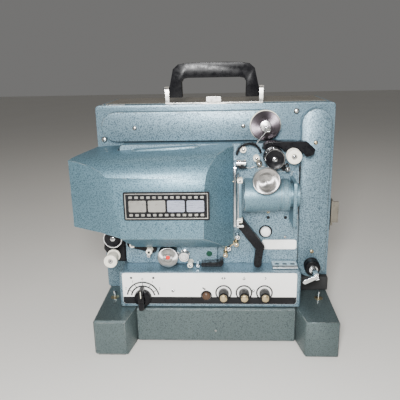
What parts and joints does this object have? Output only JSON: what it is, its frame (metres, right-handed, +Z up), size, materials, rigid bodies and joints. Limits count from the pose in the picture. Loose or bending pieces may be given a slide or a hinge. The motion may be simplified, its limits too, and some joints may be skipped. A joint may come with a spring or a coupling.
{
  "type": "film projector",
  "caption": "Portable film projector with swing-out lamphouse cover, folding reel arms, control panel, base and carrying handle.",
  "frame": {"origin": "middle of the box that holds the projector, on the plane that its rubber pads stand on", "axes": "+Z up, +Y from the operator towards the back of the case, +X along the light beam out of the lens, to the operator's right"},
  "size_m": [0.4, 0.26, 0.41],
  "materials": {
    "hammertone": "blue-grey hammertone enamel with dark flecks",
    "black_plastic": "moulded black plastic, slightly worn",
    "black_paint": "satin black enamel",
    "rubber": "matt black rubber",
    "chrome": "polished plating",
    "brushed": "turned and brushed aluminium",
    "silver_panel": "brushed silver panel with black bands",
    "cream": "cream moulded plastic",
    "anodised": "violet-grey anodised aluminium over a cream friction ring",
    "blue_barrel": "smooth blue-grey enamel",
    "glass": "clear glass",
    "steel": "plain bright steel",
    "board": "green circuit board",
    "brown": "dark brown translucent plastic"
  },
  "bodies": {
    "body": {"sound_head": "hammertone", "base_pan": "hammertone", "foot_left": "hammertone", "foot_right": "hammertone", "front_casting": "hammertone", "rear_case": "hammertone", "mechanism_housing": "hammertone", "control_housing": "hammertone", "power_inlet": "black_plastic", "lamp_socket": "black_plastic", "loop_former": "black_plastic", "upper_guide": "black_plastic", "rear_grille": "black_paint", "lower_casting": "black_paint", "loudspeaker": "black_paint", "pad_left": "rubber", "pad_right": "rubber", "case_gasket": "rubber", "stop_block": "rubber", "reflector": "chrome", "gate_plate": "chrome", "control_panel": "silver_panel", "lens_holder": "blue_barrel", "lens_bracket": "blue_barrel", "lamp": "glass", "condenser": "glass", "handle_bracket": "steel", "drive_motor": "steel", "transformer": "steel", "amplifier_board": "board"},
    "carry_handle": {"handle": "black_plastic"},
    "supply_arm_body": {"supply_arm": "hammertone"},
    "supply_spindle_body": {"supply_spindle": "black_plastic"},
    "supply_latch_body": {"supply_latch": "chrome"},
    "takeup_arm_body": {"takeup_arm": "hammertone"},
    "takeup_spindle_body": {"takeup_spindle": "anodised"},
    "takeup_latch_body": {"takeup_latch": "chrome"},
    "cover": {"lamphouse_cover": "hammertone", "nameplate": "black_paint"},
    "upper_sprocket_body": {"upper_sprocket": "black_plastic"},
    "lower_sprocket_body": {"lower_sprocket": "black_plastic"},
    "upper_roller_body": {"upper_roller": "cream"},
    "lower_roller_body": {"lower_roller": "cream"},
    "tension_arm_body": {"tension_arm": "black_plastic"},
    "sound_drum_body": {"sound_drum": "chrome"},
    "sound_pulley_body": {"sound_pulley": "brushed"},
    "focus_knob_body": {"focus_knob": "brushed"},
    "lens_body": {"lens": "blue_barrel"},
    "gate_door_body": {"gate_door": "blue_barrel"},
    "threading_lever_body": {"threading_lever": "black_plastic"},
    "inching_button_body": {"inching_button": "cream"},
    "mode_knob_body": {"mode_knob": "black_plastic"},
    "pilot_button_body": {"pilot_button": "brown"},
    "volume_knob_body": {"volume_knob": "black_plastic"},
    "tone_knob_body": {"tone_knob": "black_plastic"},
    "balance_knob_body": {"balance_knob": "black_plastic"},
    "top_latch_body": {"top_latch": "steel"},
    "side_latch_body": {"side_latch": "steel"},
    "film_trimmer_body": {"film_trimmer": "brushed"},
    "fan": {"fan_rotor": "black_plastic"}
  },
  "joints": [
    {"name": "handle_fold", "type": "hinge", "parent": "body", "child": "carry_handle", "pos_m": [0.004, -0.005, 0.371], "axis": [-1, 0, 0], "range_deg": [0, 90]},
    {"name": "supply_arm_swing", "type": "hinge", "parent": "body", "child": "supply_arm_body", "pos_m": [0.153, -0.016, 0.3215], "axis": [0, -1, 0], "range_deg": [0, 135]},
    {"name": "supply_spindle_turn", "type": "hinge", "parent": "supply_arm_body", "child": "supply_spindle_body", "pos_m": [0.153, -0.016, 0.1025], "axis": [0, -1, 0], "continuous": true},
    {"name": "supply_latch_flip", "type": "hinge", "parent": "supply_spindle_body", "child": "supply_latch_body", "pos_m": [0.153, -0.079, 0.1025], "axis": [-0.4384, 0, 0.8988], "range_deg": [0, 90]},
    {"name": "takeup_arm_swing", "type": "hinge", "parent": "body", "child": "takeup_arm_body", "pos_m": [-0.141, -0.016, 0.3205], "axis": [0, -1, 0], "range_deg": [0, 150]},
    {"name": "takeup_spindle_turn", "type": "hinge", "parent": "takeup_arm_body", "child": "takeup_spindle_body", "pos_m": [0.078, -0.016, 0.3205], "axis": [0, -1, 0], "continuous": true},
    {"name": "takeup_latch_flip", "type": "hinge", "parent": "takeup_spindle_body", "child": "takeup_latch_body", "pos_m": [0.078, -0.079, 0.3205], "axis": [-0.7771, 0, 0.6293], "range_deg": [0, 90]},
    {"name": "cover_swing", "type": "hinge", "parent": "body", "child": "cover", "pos_m": [-0.172, -0.019, 0.22], "axis": [0, 0, -1], "range_deg": [0, 100]},
    {"name": "upper_sprocket_turn", "type": "hinge", "parent": "body", "child": "upper_sprocket_body", "pos_m": [0.0881, -0.066, 0.2796], "axis": [0, -1, 0], "continuous": true},
    {"name": "lower_sprocket_turn", "type": "hinge", "parent": "body", "child": "lower_sprocket_body", "pos_m": [-0.1463, -0.066, 0.1624], "axis": [0, -1, 0], "continuous": true},
    {"name": "upper_roller_turn", "type": "hinge", "parent": "body", "child": "upper_roller_body", "pos_m": [0.115, -0.066, 0.2826], "axis": [0, -1, 0], "continuous": true},
    {"name": "lower_roller_turn", "type": "hinge", "parent": "body", "child": "lower_roller_body", "pos_m": [-0.1514, -0.066, 0.1279], "axis": [0, -1, 0], "continuous": true},
    {"name": "tension_arm_swing", "type": "hinge", "parent": "body", "child": "tension_arm_body", "pos_m": [-0.124, -0.056, 0.147], "axis": [0, -1, 0], "range_deg": [-8, 8], "stiffness_Nm_per_rad": 0.5},
    {"name": "sound_drum_turn", "type": "hinge", "parent": "body", "child": "sound_drum_body", "pos_m": [-0.0662, -0.066, 0.1315], "axis": [0, -1, 0], "continuous": true},
    {"name": "sound_pulley_turn", "type": "hinge", "parent": "body", "child": "sound_pulley_body", "pos_m": [-0.0423, -0.066, 0.1314], "axis": [0, -1, 0], "continuous": true},
    {"name": "focus_turn", "type": "hinge", "parent": "body", "child": "focus_knob_body", "pos_m": [0.0744, -0.076, 0.2561], "axis": [0, -1, 0], "range_deg": [-60, 60]},
    {"name": "lens_slide", "type": "slide", "parent": "body", "child": "lens_body", "axis": [1, 0, 0], "range_m": [-0.0024, 0.0024]},
    {"name": "gate_open", "type": "slide", "parent": "body", "child": "gate_door_body", "axis": [1, 0, 0], "range_m": [0, 0.003], "stiffness_N_per_m": 150},
    {"name": "threading_lever_swing", "type": "hinge", "parent": "body", "child": "threading_lever_body", "pos_m": [0.043, -0.066, 0.183], "axis": [0, -1, 0], "range_deg": [0, 12]},
    {"name": "inching_button_press", "type": "slide", "parent": "body", "child": "inching_button_body", "axis": [0, 1, 0], "range_m": [0, 0.004], "stiffness_N_per_m": 200},
    {"name": "mode_turn", "type": "hinge", "parent": "body", "child": "mode_knob_body", "pos_m": [-0.1039, -0.091, 0.074], "axis": [0, -1, 0], "range_deg": [-90, 90]},
    {"name": "pilot_button_press", "type": "slide", "parent": "body", "child": "pilot_button_body", "axis": [0, 1, 0], "range_m": [0, 0.002], "stiffness_N_per_m": 200},
    {"name": "volume_turn", "type": "hinge", "parent": "body", "child": "volume_knob_body", "pos_m": [0.0163, -0.091, 0.0811], "axis": [0, -1, 0], "range_deg": [0, 270]},
    {"name": "tone_turn", "type": "hinge", "parent": "body", "child": "tone_knob_body", "pos_m": [0.0464, -0.091, 0.0811], "axis": [0, -1, 0], "range_deg": [-135, 135]},
    {"name": "balance_turn", "type": "hinge", "parent": "body", "child": "balance_knob_body", "pos_m": [0.0764, -0.091, 0.0811], "axis": [0, -1, 0], "range_deg": [-135, 135]},
    {"name": "top_latch_flip", "type": "hinge", "parent": "body", "child": "top_latch_body", "pos_m": [0.004, -0.0128, 0.3545], "axis": [-1, 0, 0], "range_deg": [0, 60]},
    {"name": "side_latch_flip", "type": "hinge", "parent": "body", "child": "side_latch_body", "pos_m": [0.19, 0.014, 0.1555], "axis": [0, 1, 0], "range_deg": [0, 90]},
    {"name": "film_trimmer_lift", "type": "hinge", "parent": "body", "child": "film_trimmer_body", "pos_m": [0.1075, -0.056, 0.116], "axis": [-1, 0, 0], "range_deg": [0, 60]},
    {"name": "fan_turn", "type": "hinge", "parent": "body", "child": "fan", "pos_m": [-0.086, 0.094, 0.17], "axis": [0, -1, 0], "continuous": true}
  ],
  "couplings": [
    {"joint": "lower_sprocket_turn", "follows": "upper_sprocket_turn", "ratio": 1},
    {"joint": "focus_turn", "follows": "lens_slide", "rad_per_m": 434}
  ]
}
